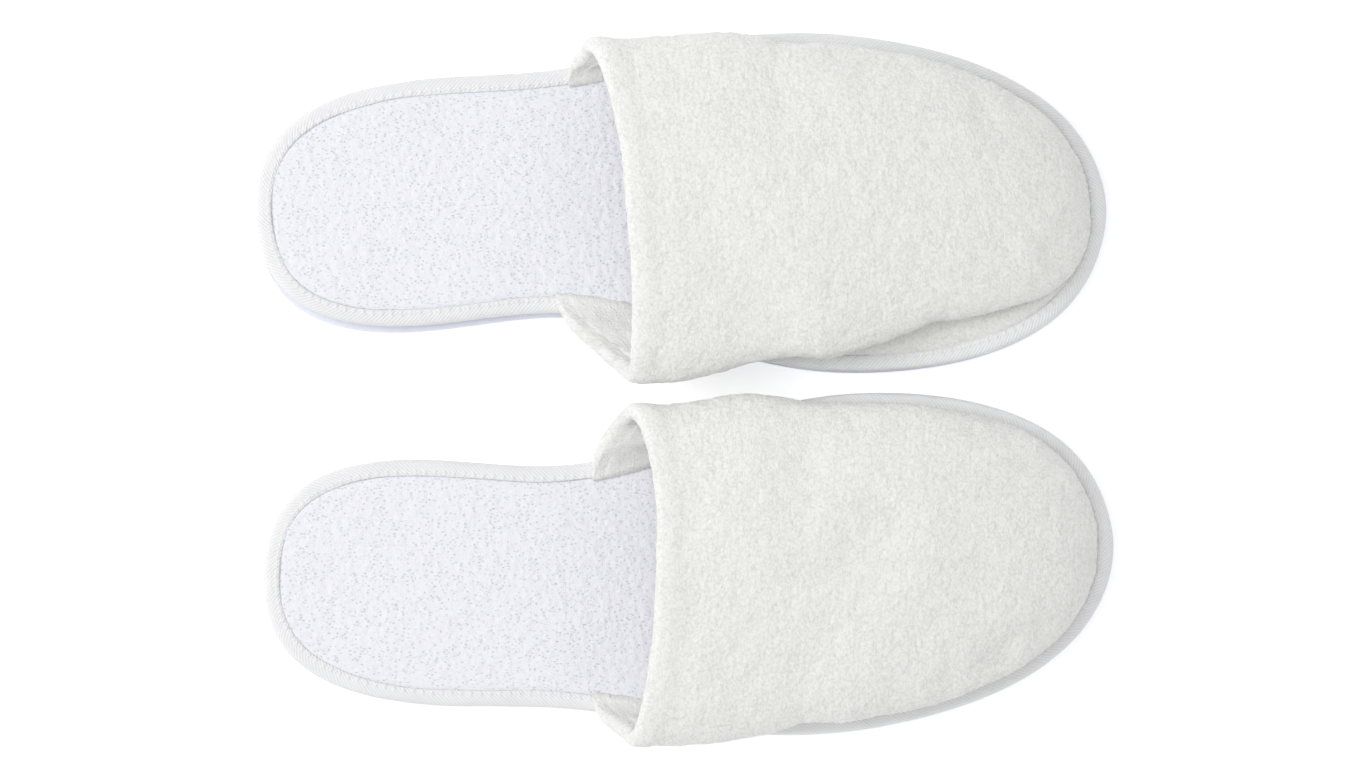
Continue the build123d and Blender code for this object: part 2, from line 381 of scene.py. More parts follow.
def loop_pile(pitch, fibre):
    """Relief of unbrushed loop terry: close loops with small pits between their rows, which the finish
    darkens with painted shade.
    """

    def relief(tree, place):
        moved = wandering(tree, place, 5)
        slant = {"Rotation": (0, 0, 0.5), "Scale": (0.7, 1.25, 1.0)}
        rows = add(tree, "ShaderNodeMapping", slant, {"Vector": moved})
        loops = add(
            tree,
            "ShaderNodeTexVoronoi",
            {"Scale": 1 / (pitch * MM), "Randomness": 0.8},
            {"Vector": rows.outputs[0]},
        )
        pit = add(
            tree,
            "ShaderNodeMapRange",
            {"From Min": 0.02, "From Max": 0.36, "To Max": 0.5},
            {"Value": loops.outputs["Distance"]},
        )
        fuzz = add(
            tree,
            "ShaderNodeTexNoise",
            {"Scale": 1 / (fibre * MM), "Detail": 3.0},
            {"Vector": place.outputs["Object"]},
        )
        both = add(
            tree,
            "ShaderNodeMath",
            {"operation": "MULTIPLY_ADD", 1: 0.7},
            {0: fuzz.outputs["Fac"], 2: pit.outputs[0]},
        )
        return both.outputs[0], 0.7, 0.6

    return relief


def twill_ribs(pitch):
    """Relief of twill tape: fine ribs at 45 degrees to its edge."""

    def relief(tree, place):
        slant = {"Rotation": (0, 0, math.radians(45))}
        turned = add(tree, "ShaderNodeMapping", slant, {"Vector": place.outputs["UV"]})
        ribs = add(
            tree,
            "ShaderNodeTexWave",
            {"Scale": wave_scale(pitch), "Distortion": 0.6},
            {"Vector": turned.outputs[0]},
        )
        yarn = add(
            tree,
            "ShaderNodeTexNoise",
            {"Scale": 1 / (0.4 * MM), "Detail": 2.0},
            {"Vector": place.outputs["Object"]},
        )
        both = add(
            tree,
            "ShaderNodeMath",
            {"operation": "MULTIPLY_ADD", 1: 0.3},
            {0: yarn.outputs["Fac"], 2: ribs.outputs["Fac"]},
        )
        return both.outputs[0], 0.5, 0.25

    return relief


def yarn_twist(pitch):
    """Relief of spun thread: its twist under loose fibre."""

    def relief(tree, place):
        twist = add(
            tree,
            "ShaderNodeTexWave",
            {"Scale": wave_scale(pitch), "Distortion": 0.4},
            {"Vector": place.outputs["UV"]},
        )
        fuzz = add(
            tree,
            "ShaderNodeTexNoise",
            {"Scale": 1 / (0.8 * MM), "Detail": 3.0},
            {"Vector": place.outputs["Object"]},
        )
        both = add(
            tree,
            "ShaderNodeMath",
            {"operation": "MULTIPLY_ADD", 1: 0.35},
            {0: twist.outputs["Fac"], 2: fuzz.outputs["Fac"]},
        )
        return both.outputs[0], 0.25, 0.25

    return relief


def foam_grain(size):
    """Relief of foam: small closed cells and pits."""

    def relief(tree, place):
        cells = add(
            tree, "ShaderNodeTexVoronoi", {"Scale": 1 / (size * MM)}, {"Vector": place.outputs["Object"]}
        )
        return cells.outputs["Distance"], 0.35, 0.15

    return relief


def wave_scale(pitch):
    """The wave texture's scale for bands of the given pitch."""
    return 2 * math.pi / 20 / (pitch * MM)


def make_materials():
    """Every finish of the slippers, by the record's slot.

    Sizes of patches, tufts and cells are in mm. Loose fibre and foam cells are drawn coarser than the real
    ones, so that they show.
    """
    cream = ("#E9E4D4", "#F4F1E6")
    # The last number of each finish weights the painted shade in the pits of its relief.
    return {
        # Cotton terry with its loops brushed up: warm white, deep and matt, with a soft rim of fibre
        "vamp_terry": matt_finish(
            "brushed_cotton_terry", "#DADAD7", "#FDFDFA", 9, 0.95, 0.3, brushed_pile(1.1, 0.42), 0.8
        ),
        # Bleached loop terry: bluish white from the brightener, close even loops like pin dots, with
        # painted shade in the pits between them
        "footbed_terry": matt_finish(
            "bleached_loop_terry", "#C6C6D1", "#F1F1F7", 5, 0.95, 0.2, loop_pile(1.2, 0.45), 0.8
        ),
        # Cotton twill tape folded over the edge: clean white, with slanting ribs drawn coarser than the
        # real ones so that they show
        "binding_tape": matt_finish(
            "cotton_twill_tape", "#E4E4E6", "#F0F0F1", 6, 0.85, 0.15, twill_ribs(1.0), 0.5
        ),
        # Spun polyester thread: white, a little brighter than the tape
        "sewing_thread": matt_finish(
            "spun_polyester_thread", "#EBEBED", "#F4F4F4", 2, 0.6, 0.1, yarn_twist(0.3), 0.4
        ),
        # Fine brushed tricot: white with a short soft nap
        "vamp_lining": matt_finish(
            "brushed_tricot_lining", "#F0F0EE", "#FDFDFB", 8, 0.95, 0.3, brushed_pile(0.9, 0.4), 0.6
        ),
        # Moulded EVA foam sheet: bluish white, with a faint soft shine on its skin
        "eva_outsole": matt_finish(
            "eva_foam_sheet", "#E0E3EE", "#E9ECF5", 12, 0.6, 0.0, foam_grain(0.7), 0.3
        ),
        # Open-cell polyurethane foam: cream, dull and pitted
        "sole_foam": matt_finish("polyurethane_foam", *cream, 3, 0.95, 0.0, foam_grain(1.0), 0.6),
        "vamp_foam": matt_finish("polyurethane_foam_thin", *cream, 3, 0.95, 0.0, foam_grain(1.0), 0.6),
        # Spunbonded cloth under the foam: plain white, faintly dimpled
        "base_cloth": matt_finish(
            "spunbonded_cloth", "#E6E6E6", "#F0F0F0", 3, 0.9, 0.0, foam_grain(1.6), 0.5
        ),
    }


# ---------------------------------------------------------------- the vamp


def hand_fullness(x, fullness):
    """How much more a side of the vamp stands out at x, from the way that it was sewn and pressed."""
    most, middle, width = fullness
    return most * math.exp(-(((x - middle) / width) ** 2) / 2)


class VampForm:
    """The smooth outer form of a vamp. A point's run is its way along the crest, its girth the way over."""

    RUN_STEP = 0.5
    GIRTH_STEP = 0.5
    NEAR = 0.8            # a slope is taken between points this far to each side
    ARCH_POINTS = 61      # from one widest place over the crest to the other
    LEAN_POINTS = 12      # from the seam to the widest place
    CREST_POINTS = 900
    CLEAR_OF_SEAM = 2.2   # the way out of the form is read no nearer to the seam

    def __init__(self, slipper):
        self.slipper = slipper
        start, end = slipper.facts["throat"] - FORM_START, slipper.tip(TAPE_TOP_WIDTH) - 0.02
        share = np.sin(np.linspace(0, math.pi / 2, self.CREST_POINTS))
        x = start + (end - start) * share
        crown = (CROWN - RISER) * np.sqrt(1 - share**2)
        run = np.concatenate([[0], np.cumsum(np.hypot(np.diff(x), np.diff(crown)))])
        self.runs = np.arange(0, run[-1], self.RUN_STEP)
        self.x = np.interp(self.runs, run, x)
        self.girths = np.arange(-CLOTH_HALF, CLOTH_HALF + self.GIRTH_STEP / 2, self.GIRTH_STEP)
        shares = (self.x - start) / (end - start)
        sections = [self.section(at, s) for at, s in zip(self.x, shares)]
        self.y = np.array([np.interp(self.girths, g, y) for y, z, g in sections])
        self.z = np.array([np.interp(self.girths, g, z) for y, z, g in sections])
        self.low = np.array([g[0] for y, z, g in sections])
        self.high = np.array([g[-1] for y, z, g in sections])
        self.add_toe_tuck()

    def sides(self, x, share, inner_base, outer_base):
        """How far the vamp stands out at each side: full at the throat, drawn in at the toe."""
        at_seam = min(1.0, share / FULLNESS_END) ** 4
        inner_side = (1 - at_seam) * INNER_FULLNESS + at_seam * (inner_base + SIDE_SWELL)
        outer_side = -(1 - at_seam) * OUTER_FULLNESS + at_seam * (outer_base - SIDE_SWELL)
        inner_side += hand_fullness(x, self.slipper.facts["inner_fullness"])
        outer_side -= hand_fullness(x, self.slipper.facts["outer_fullness"])
        return inner_side, outer_side

    def section(self, x, share):
        """One upright section from the outer foot to the inner foot, with its girth from the crest."""
        inner_foot, outer_foot = self.slipper.reach(x, TAPE_TOP_WIDTH)
        inner_tuck, outer_tuck = self.slipper.reach(x, TAPE_TOP_WIDTH - TUCK)
        place = min(1.0, max(0.0, (x - CREASE[0]) / (CREASE[1] - CREASE[0])))
        flat = self.slipper.facts["crease"] * math.sin(math.pi * place)
        inner_side, outer_side = self.sides(x, share, inner_foot - flat, outer_foot)
        crown = (CROWN - RISER) * math.sqrt(max(0.0, 1 - share**2))
        bulge = BULGE_LEVEL * crown
        middle, half = (inner_side + outer_side) / 2, (inner_side - outer_side) / 2
        turn = np.linspace(math.pi, 0, self.ARCH_POINTS)
        y, z = middle + half * np.cos(turn), RISER + bulge + (crown - bulge) * np.sin(turn)
        lean = np.linspace(0, math.pi / 2, self.LEAN_POINTS)[:-1]
        lean_z = RISER + bulge * (1 - np.cos(lean))
        outer_y = outer_foot + (outer_side - outer_foot) * np.sin(lean)
        inner_base = inner_foot - flat
        inner_y = inner_base + (inner_side - inner_base) * np.sin(lean)
        tuck_z = [SEAM_LEVEL + 0.1, SEAM_LEVEL + 0.3]
        ledge_y = [inner_foot - 0.5 * flat, inner_foot - 0.1 * flat]
        ledge_z = [RISER + 0.12 * flat, RISER - 0.1]
        outer_edge, inner_edge = [outer_tuck, outer_foot], [inner_foot, inner_tuck]
        y = np.concatenate([outer_edge, outer_y, y, inner_y[::-1], ledge_y, inner_edge])
        z = np.concatenate([tuck_z, lean_z, z, lean_z[::-1], ledge_z, tuck_z[::-1]])
        girth = np.concatenate([[0], np.cumsum(np.hypot(np.diff(y), np.diff(z)) + 1e-6)])
        return y, z, girth - girth[2 + len(lean) + self.ARCH_POINTS // 2]

    def add_toe_tuck(self):
        """At the toe the cloth drops to its seam and runs on under the tape."""
        x_end, y_end, z_end = self.x[-1], self.y[-1], self.z[-1]
        for forward, drop in ((0, 0.5), (0, 1.0), (0.5, 1.2), (1.0, 1.2), (TUCK, 1.2)):
            self.x = np.append(self.x, x_end + forward)
            self.y = np.vstack([self.y, y_end])
            self.z = np.vstack([self.z, np.maximum(z_end - drop, SEAM_LEVEL + 0.1)])
            self.low, self.high = np.append(self.low, self.low[-1]), np.append(self.high, self.high[-1])
        self.runs = np.arange(len(self.x)) * self.RUN_STEP

    def at(self, run, girth):
        """Points of the form at a run and girth, in the slipper's plan."""
        m = np.clip(run / self.RUN_STEP, 0, len(self.runs) - 1.001)
        q = np.clip((girth + CLOTH_HALF) / self.GIRTH_STEP, 0, len(self.girths) - 1.001)
        m0, q0 = np.floor(m).astype(int), np.floor(q).astype(int)
        u, v = m - m0, q - q0

        def mixed(table):
            near = table[m0, q0] * (1 - v) + table[m0, q0 + 1] * v
            far = table[m0 + 1, q0] * (1 - v) + table[m0 + 1, q0 + 1] * v
            return near * (1 - u) + far * u

        x = self.x[m0] * (1 - u) + self.x[m0 + 1] * u
        return np.stack([x, mixed(self.y), mixed(self.z)], axis=-1)

    def limits(self, run):
        """The girth of the outer and inner seam at a run."""
        return np.interp(run, self.runs, self.low), np.interp(run, self.runs, self.high)

    def held(self, run, girth, margin=0.0):
        """The girth kept between the seams, and by a margin inside them."""
        low, high = self.limits(run)
        return np.clip(girth, np.minimum(low + margin, 0), np.maximum(high - margin, 0))

    def normal(self, run, girth):
        """Unit vectors that point out of the form."""
        run = np.clip(run, 1.0, self.runs[-1] - 1.5)
        girth = self.held(run, girth, self.CLEAR_OF_SEAM)
        before, after = run - self.NEAR, run + self.NEAR
        ahead = self.at(after, self.held(after, girth)) - self.at(before, self.held(before, girth))
        across = self.at(run, girth + self.NEAR) - self.at(run, girth - self.NEAR)
        out = np.cross(ahead, across)
        return out / np.maximum(np.linalg.norm(out, axis=-1), 1e-9)[..., None]

    def throat_x(self):
        """The x of the throat's edge at the height of every point: along the side, then over the top."""
        facts = self.slipper.facts
        bulge = BULGE_LEVEL * (CROWN - RISER)
        height = np.maximum(self.z - RISER, 0)
        inner = self.girths > 0
        rear = np.where(inner, facts["throat_inner"][0], facts["throat_outer"][0])
        fold = np.where(inner, facts["throat_inner"][1], facts["throat_outer"][1])
        lower = np.sqrt(1 - (1 - np.minimum(height / bulge, 1)) ** 2)
        upper = np.clip((height - bulge) / (CROWN - THROAT_LEVELS_OFF - RISER - bulge), 0, 1)
        return rear + (fold - rear) * lower**THROAT_CORNER + (facts["throat_top"] - fold) * upper

    def throat_run(self, girth):
        """The run at which the throat crosses each girth."""
        ahead = self.x[:, None] - self.throat_x()
        first = np.maximum(np.argmax(ahead >= 0, axis=0), 1)
        columns = np.arange(len(self.girths))
        gap = ahead[first, columns] - ahead[first - 1, columns]
        back = np.where(gap > 1e-6, ahead[first, columns] / np.maximum(gap, 1e-6), 0)
        runs = smoothed((first - np.clip(back, 0, 1)) * self.RUN_STEP, THROAT_SMOOTHING)
        return np.interp(girth, self.girths, runs)


def thickness(from_seam):
    """Thickness of the padded cloth, pressed flat at its seam."""
    return SEWN + (PADDING - SEWN) * smooth_step(from_seam, 0, PRESSED)


def cloth_grid(form, step, start=0.0):
    """A grid over the vamp: the run and girth of each point, and which squares lie on the cloth."""
    low, high = form.limits(form.runs)
    girth = np.arange(math.floor(low.min() / step), math.ceil(high.max() / step) + 1) * step
    first = form.throat_run(girth) + start
    count = int((form.runs[-1] - first.min()) / step) + 2
    run = np.minimum(first[None, :] + np.arange(count)[:, None] * step, form.runs[-1])
    free = np.broadcast_to(girth, run.shape)
    held = form.held(run, free)
    outside = (np.abs(held - free) > 1e-6) | (run >= form.runs[-1])
    corner = outside[:-1, :-1] & outside[:-1, 1:] & outside[1:, 1:] & outside[1:, :-1]
    return run, held, ~corner


def simulated(sheet, sewn):
    """The places of a sheet's points when its cloth has settled, in metres. The sewn points stay."""
    pins = sheet.vertex_groups.new(name="sewn")
    pins.add(sewn, 1.0, "REPLACE")
    settings = sheet.modifiers.new("cloth", "CLOTH").settings
    settings.quality = 8
    settings.mass = 0.25
    settings.tension_stiffness = settings.compression_stiffness = settings.shear_stiffness = 25
    settings.bending_stiffness = 12
    settings.shrink_min = -0.03    # the cloth is a little larger than its form, so it wrinkles
    settings.vertex_group_mass = "sewn"
    settings.use_pressure = True
    settings.uniform_pressure_force = 1.0
    settings.effector_weights.gravity = 0
    scene = bpy.context.scene
    for number in range(1, SETTLING_FRAMES + 1):
        scene.frame_set(number)
    settled = sheet.evaluated_get(bpy.context.evaluated_depsgraph_get())
    places = np.array([vertex.co[:] for vertex in settled.data.vertices])
    scene.frame_set(1)
    return places


def settle(form):
    """Cloth simulation of the vamp: how far each point of a coarse grid moves into the folds."""
    run, girth, wanted = cloth_grid(form, SETTLING_STEP)
    points = form.at(run, girth)
    flat = form.slipper.to_frame(points.reshape(-1, 3))
    mesh = bpy.data.meshes.new("settling")
    mesh.from_pydata(flat.tolist(), [], grid_faces(*run.shape, wanted).tolist())
    sheet = bpy.data.objects.new("settling", mesh)
    bpy.context.scene.collection.objects.link(sheet)
    low, high = form.limits(run)
    at_seam = (girth < low + PINNED) | (girth > high - PINNED) | (run > form.runs[-1] - PINNED)
    places = simulated(sheet, np.flatnonzero(at_seam.ravel()).tolist())
    bpy.data.objects.remove(sheet)
    moved = form.slipper.moves_in_plan(places - flat).reshape(points.shape)
    moved = moved - blurred(moved, SWELLING_BLUR)    # the form already holds the swelling
    size = np.linalg.norm(moved, axis=-1, keepdims=True)
    return moved * np.minimum(1, MOST_SETTLING / np.maximum(size, 1e-9))


def blurred(grid, times):
    """A grid of values smoothed along and across."""
    whole = grid.copy()
    for _ in range(times):
        whole[1:-1] = (whole[:-2] + 2 * whole[1:-1] + whole[2:]) / 4
        whole[:, 1:-1] = (whole[:, :-2] + 2 * whole[:, 1:-1] + whole[:, 2:]) / 4
    return whole


def spread(moved, step, shape):
    """The settling grid's moves, read at the points of a finer grid and smoothed."""
    rows = np.minimum(np.arange(shape[0]) * step / SETTLING_STEP, moved.shape[0] - 1.001)
    columns = np.linspace(0, moved.shape[1] - 1.001, shape[1])
    i, j = np.floor(rows).astype(int), np.floor(columns).astype(int)
    u, v = (rows - i)[:, None, None], (columns - j)[None, :, None]
    near = moved[i][:, j] * (1 - v) + moved[i][:, j + 1] * v
    far = moved[i + 1][:, j] * (1 - v) + moved[i + 1][:, j + 1] * v
    return blurred(near * (1 - u) + far * u, int(2 * SETTLING_STEP / step))


def settled_cloth(form, moved, step, start=0.0, at_sides=0.0, at_toe=0.0):
    """A grid of cloth on the settled vamp. It starts inside the throat's edge and ends short of the seam.

    Gives its points, the run, girth and distance from the seam of each, and which squares are wanted.
    """
    run, girth, wanted = cloth_grid(form, step, start)
    low, high = form.limits(run)
    girth = np.clip(girth, np.minimum(low + at_sides, 0), np.maximum(high - at_sides, 0))
    run = np.minimum(run, form.runs[-1] - at_toe)
    from_seam = np.minimum(np.minimum(girth - low, high - girth), form.runs[-1] - run)
    folds = spread(moved, step, run.shape) * smooth_step(from_seam, *FOLDS)[..., None]
    return form.at(run, girth) + folds, run, girth, from_seam, wanted


def pile_height(across, along, seed):
    """Height of brushed terry: rows of loops with clumps where the pile has been rubbed together."""
    wander = 0.9 * fabric_noise(across, along, 7, seed)
    rows = np.cos(2 * math.pi * (along + wander) / 2.1)
    tufts = fabric_noise(across, along, 1.0, seed + 1)
    clumps = fabric_noise(across, along * 0.8, 2.4, seed + 2)
    patches = fabric_noise(across, along, 7.5, seed + 3)
    return 0.04 * rows + 0.2 * tufts + 0.2 * clumps + 0.2 * patches


def edge_bead(from_throat):
    """How the terry swells over the padding at the throat's edge and dips behind it."""
    return sum(tall * np.exp(-(((from_throat - place) / wide) ** 2)) for tall, place, wide in EDGE_BEAD)


def off_the_edge(shape, out):
    """Unit vectors that point along the cloth and off the throat's edge."""
    back = np.cross(out, np.gradient(shape[0], axis=0))
    back *= np.sign(np.sum(back * (shape[0] - shape[3]), axis=1))[:, None]
    back /= np.maximum(np.linalg.norm(back, axis=1), 1e-9)[:, None]
    return smoothed(back, ROLL_SMOOTHING)


def rolled_edge(shape, out, girth, from_seam, bead, seed):
    """Rows of terry round the padded edge of the throat, from its inside to the outer face."""
    radius = thickness(from_seam) / 2
    back = off_the_edge(shape, out)
    rows = []
    for turn in np.linspace(0, math.pi, ROLL_STEPS + 1)[1:]:
        place = shape[0] + (radius * math.sin(turn))[:, None] * back
        place = place - (radius * (1 - math.cos(turn)))[:, None] * out
        lump = 0.2 * fabric_noise(girth, np.full_like(girth, turn * 3), 2.4, seed)
        lump = lump + bead * math.cos(turn / 2)
        face = math.sin(turn) * back + math.cos(turn) * out
        rows.append(place + lump[:, None] * face * smooth_step(from_seam, 1, 6)[:, None])
    return np.array(rows)[::-1]


def make_vamp(slipper, form, moved, materials):
    """The terry of one vamp: its outer face, the rolled edge of the throat and a little of the inside."""
    shape, run, girth, from_seam, wanted = settled_cloth(form, moved, CLOTH_STEP)
    out = form.normal(run, girth)
    from_throat = np.arange(len(run))[:, None] * CLOTH_STEP
    pile = pile_height(girth, run, slipper.seed) * (0.3 + 0.7 * smooth_step(from_throat, 2, 9))
    bead = edge_bead(from_throat)
    outer = shape + out * ((pile + bead) * smooth_step(from_seam, 1.5, 5))[..., None]
    roll = rolled_edge(shape, out[0], girth[0], from_seam[0], bead[0], slipper.seed + 5)
    inside = slice(1, ROWS_INSIDE + 1)
    inner = shape[inside] - thickness(from_seam[inside])[..., None] * out[inside]
    points = np.concatenate([inner[::-1], roll, outer], axis=0)

    radius = thickness(from_seam[0]) / 2
    turns = np.linspace(0, math.pi, ROLL_STEPS + 1)[1:, None]
    inner_run = run[0] - math.pi * radius - np.arange(1, ROWS_INSIDE + 1)[:, None] * CLOTH_STEP
    runs = np.concatenate([inner_run[::-1], (run[0] - turns * radius)[::-1], run], axis=0)
    added = len(points) - len(outer)
    girths = np.concatenate([np.repeat(girth[:1], added, axis=0), girth], axis=0)
    wanted = np.concatenate([np.repeat(wanted[:1], added, axis=0), wanted], axis=0)
    coordinates = np.stack([runs, girths], axis=-1).reshape(-1, 2)
    faces = grid_faces(*points.shape[:2], wanted)
    name = f"{slipper.side}_vamp"
    terry = make_piece(name, slipper, points.reshape(-1, 3), faces, materials["vamp_terry"], coordinates)
    attach(terry, slipper.side, "vamp_terry")


def make_lining(slipper, form, moved, materials):
    """The short-napped cloth that lines the vamp, from inside the rolled edge down to the footbed."""
    shape, run, girth, from_seam, wanted = settled_cloth(
        form, moved, LINING_STEP, start=LINING_START, at_sides=LINING_TUCK, at_toe=LINING_TOE
    )
    proud = -0.8 + 1.0 * smooth_step(np.arange(len(run)) * LINING_STEP, 0, 2.8)
    nap = 0.3 * fabric_noise(girth, run, 3.0, slipper.seed + 15)
    nap = nap + 0.3 * fabric_noise(girth, run, 9.0, slipper.seed + 16)
    nap = nap + 0.12 * fabric_noise(girth, run, 1.6, slipper.seed + 17)
    depth = thickness(from_seam) + proud[:, None] + nap * smooth_step(from_seam, 4, 10)
    points = shape - depth[..., None] * form.normal(run, girth)
    points[..., 2] -= 0.9 * (1 - smooth_step(from_seam, 1.8, 3.2))
    points[..., 2] = np.maximum(points[..., 2], SEAM_LEVEL - 0.7)
    faces = grid_faces(*run.shape, wanted)[:, ::-1]
    coordinates = np.stack([girth, run], axis=-1).reshape(-1, 2)
    name = f"{slipper.side}_lining"
    lining = make_piece(name, slipper, points.reshape(-1, 3), faces, materials["vamp_lining"], coordinates)
    attach(lining, slipper.side, "vamp_lining")


def make_vamp_foam(slipper, form, moved, materials):
    """The thin foam between terry and lining."""
    shape, run, girth, from_seam, wanted = settled_cloth(
        form, moved, FOAM_STEP, start=FOAM_START, at_sides=FOAM_MARGIN, at_toe=FOAM_MARGIN
    )
    middle = shape - FOAM_DEPTH * thickness(from_seam)[..., None] * form.normal(run, girth)
    faces = grid_faces(*run.shape, wanted)
    name = f"{slipper.side}_vamp_padding"
    foam = make_piece(name, slipper, middle.reshape(-1, 3), faces, materials["vamp_foam"])
    thick = foam.modifiers.new("thickness", "SOLIDIFY")
    thick.thickness = FOAM_THICKNESS * MM
    thick.offset = 0
    attach(foam, slipper.side, "vamp_foam")


# ---------------------------------------------------------------- the sole


def make_footbed(slipper, materials):
    """The loop terry footbed: lightly crowned, drawn down to its seam all round."""
    xs = np.arange(FOOTBED_MARGIN, slipper.tip(FOOTBED_MARGIN), FOOTBED_STEP)
    inner, outer = slipper.reach(xs, FOOTBED_MARGIN)
    first, last = math.floor(outer.min() / FOOTBED_STEP), math.ceil(inner.max() / FOOTBED_STEP)
    ys = np.arange(first, last + 1) * FOOTBED_STEP
    x = np.repeat(xs[:, None], len(ys), axis=1)
    free = np.broadcast_to(ys, x.shape)
    y = np.clip(free, outer[:, None], inner[:, None])
    outside = np.abs(y - free) > 1e-6
    corner = outside[:-1, :-1] & outside[:-1, 1:] & outside[1:, 1:] & outside[1:, :-1]
    from_edge = np.minimum(np.minimum(inner[:, None] - y, y - outer[:, None]), x - FOOTBED_MARGIN)
    crown = 0.65 * smooth_step(from_edge, 1.7, 3.4) + 0.2 * smooth_step(from_edge, 3, 14) - 0.15
    hollow = 0.25 * fabric_noise(x, y, 24, slipper.seed + 7)
    loops = fabric_noise(x, y, 0.9, slipper.seed + 8) * 0.24
    loops = loops + fabric_noise(x, y, 2.4, slipper.seed + 9) * 0.12
    z = SEAM_LEVEL + crown + (hollow + loops) * smooth_step(from_edge, 1, 5)
    points = np.stack([x, y, z], axis=-1).reshape(-1, 3)
    faces = grid_faces(*x.shape, ~corner)[:, ::-1]
    coordinates = np.stack([x, y], axis=-1).reshape(-1, 2)
    name = f"{slipper.side}_footbed"
    footbed = make_piece(name, slipper, points, faces, materials["footbed_terry"], coordinates)
    attach(footbed, slipper.side, "footbed_terry")


def tape_profile():
    """The folded tape's inset and level, from its lower edge, round the outside, to its upper edge."""
    bottom, top = TAPE_BOTTOM, TAPE_TOP
    corners = [
        (TAPE_BOTTOM_WIDTH, bottom + 0.45),
        (TAPE_BOTTOM_WIDTH - 0.2, bottom + 0.1),
        (3.0, bottom + 0.05),
        (1.3, bottom + 0.1),
        (0.4, bottom + 0.6),
        (0.05, bottom + 1.8),
        (0.0, bottom + 3.6),
        (0.05, bottom + 5.6),
        (0.35, bottom + 7.0),
        (1.0, bottom + 7.8),
        (2.2, top + 0.05),
        (3.2, top + 0.12),
        (STITCH_INSET, top - 0.1),
        (TAPE_TOP_WIDTH - 0.35, top + 0.12),
        (TAPE_TOP_WIDTH, top - 0.15),
        (TAPE_TOP_WIDTH - 0.05, top - 0.75),
    ]
    inset, level = np.array(corners).T
    place = np.arange(len(corners))
    fine = np.linspace(0, len(corners) - 1, TAPE_ROWS)
    inset, level = np.interp(fine, place, inset), np.interp(fine, place, level)
    return smoothed(inset, TAPE_SMOOTHING), smoothed(level, TAPE_SMOOTHING)


def tape_height(slipper, along, girth, inset, level):
    """How far the folded tape stands out: ribs, slack, and a pucker at every stitch."""
    stitch_pitch = slipper.length / round(slipper.length / STITCH_PITCH)
    ribs = 0.05 * np.cos(2 * math.pi * (along + girth) / 1.4)
    near_seam = np.exp(-(((inset - STITCH_INSET) / 0.7) ** 2)) * (level > TAPE_TOP - 1)
    at_hole = (0.5 + 0.5 * np.cos(2 * math.pi * along / stitch_pitch)) ** 3
    pucker = -(0.12 + 0.5 * at_hole) * near_seam[None, :]
    slack = 0.22 * fabric_noise(along, girth, 14, slipper.seed + 12)
    return ribs + pucker + slack * smooth_step(level, TAPE_BOTTOM + 1, TAPE_BOTTOM + 4)[None, :]


def make_binding(slipper, materials):
    """Twill tape folded round the edge of the sole, all the way round."""
    inset, level = tape_profile()
    count = len(slipper.rim)
    along = np.arange(count + 1) * slipper.length / count
    girth = np.concatenate([[0], np.cumsum(np.hypot(np.diff(inset), np.diff(level)))])
    a, g = np.meshgrid(along, girth, indexing="ij")
    height = tape_height(slipper, a, g, inset, level)
    d_inset, d_level = np.gradient(inset), np.gradient(level)
    size = np.hypot(d_inset, d_level)
    out_inset, out_level = -d_level / size, d_inset / size
    drawn = np.maximum(inset[None, :] + out_inset[None, :] * height, 0.02)
    i = np.arange(count + 1) % count
    points = np.empty((count + 1, len(inset), 3))
    points[..., :2] = slipper.rim[i][:, None, :] + slipper.inward[i][:, None, :] * drawn[..., None]
    points[..., 2] = level[None, :] - out_level[None, :] * height
    faces = grid_faces(count + 1, len(inset))
    coordinates = np.stack([a, g], axis=-1).reshape(-1, 2)
    name = f"{slipper.side}_binding"
    points = points.reshape(-1, 3)
    binding = make_piece(name, slipper, points, faces, materials["binding_tape"], coordinates)
    attach(binding, slipper.side, "edge_binding")


def stitch_faces(base):
    """The skin and the two ends of one stitch, whose points start at base."""
    faces = []
    for ring in range(STITCH_RINGS - 1):
        start = base + ring * THREAD_SIDES
        for k in range(THREAD_SIDES):
            a, b = start + k, start + (k + 1) % THREAD_SIDES
            faces.append((a, b, b + THREAD_SIDES, a + THREAD_SIDES))
    last = base + (STITCH_RINGS - 1) * THREAD_SIDES
    faces += [(base + 3, base + 2, base + 1, base), (base + 5, base + 4, base + 3, base)]
    faces += [(last, last + 1, last + 2, last + 3), (last, last + 3, last + 4, last + 5)]
    return faces


def make_stitches(slipper, materials):
    """The row of lockstitches on the tape, each a short arched run of thread that dips in at both ends."""
    count = len(slipper.rim)
    stitches = round(slipper.length / STITCH_PITCH)
    around = np.linspace(0, 2 * math.pi, THREAD_SIDES + 1)[:-1]
    points, faces, coordinates = [], [], []
    for number in range(stitches):
        middle = (number + 0.5) * count / stitches    # the tape's holes lie between the stitches
        faces += stitch_faces(number * THREAD_SIDES * STITCH_RINGS)
        for share in np.linspace(-0.5, 0.5, STITCH_RINGS):
            at = int(round(middle + share * STITCH_LENGTH / slipper.length * count)) % count
            centre = slipper.rim[at] + slipper.inward[at] * STITCH_INSET
            thin = THREAD / 2 * math.sqrt(max(0.12, 1 - (2 * share) ** 4))
            level = TAPE_TOP + 0.12 - 0.45 * (2 * share) ** 2
            for angle in around:
                place = centre + slipper.inward[at] * thin * math.cos(angle)
                points.append((place[0], place[1], level + thin * math.sin(angle)))
                coordinates.append((angle * thin, share * STITCH_LENGTH))
    points, faces, coordinates = np.array(points), np.array(faces), np.array(coordinates)
    name = f"{slipper.side}_stitches"
    thread = make_piece(name, slipper, points, faces, materials["sewing_thread"], coordinates)
    attach(thread, slipper.side, "edge_stitches")


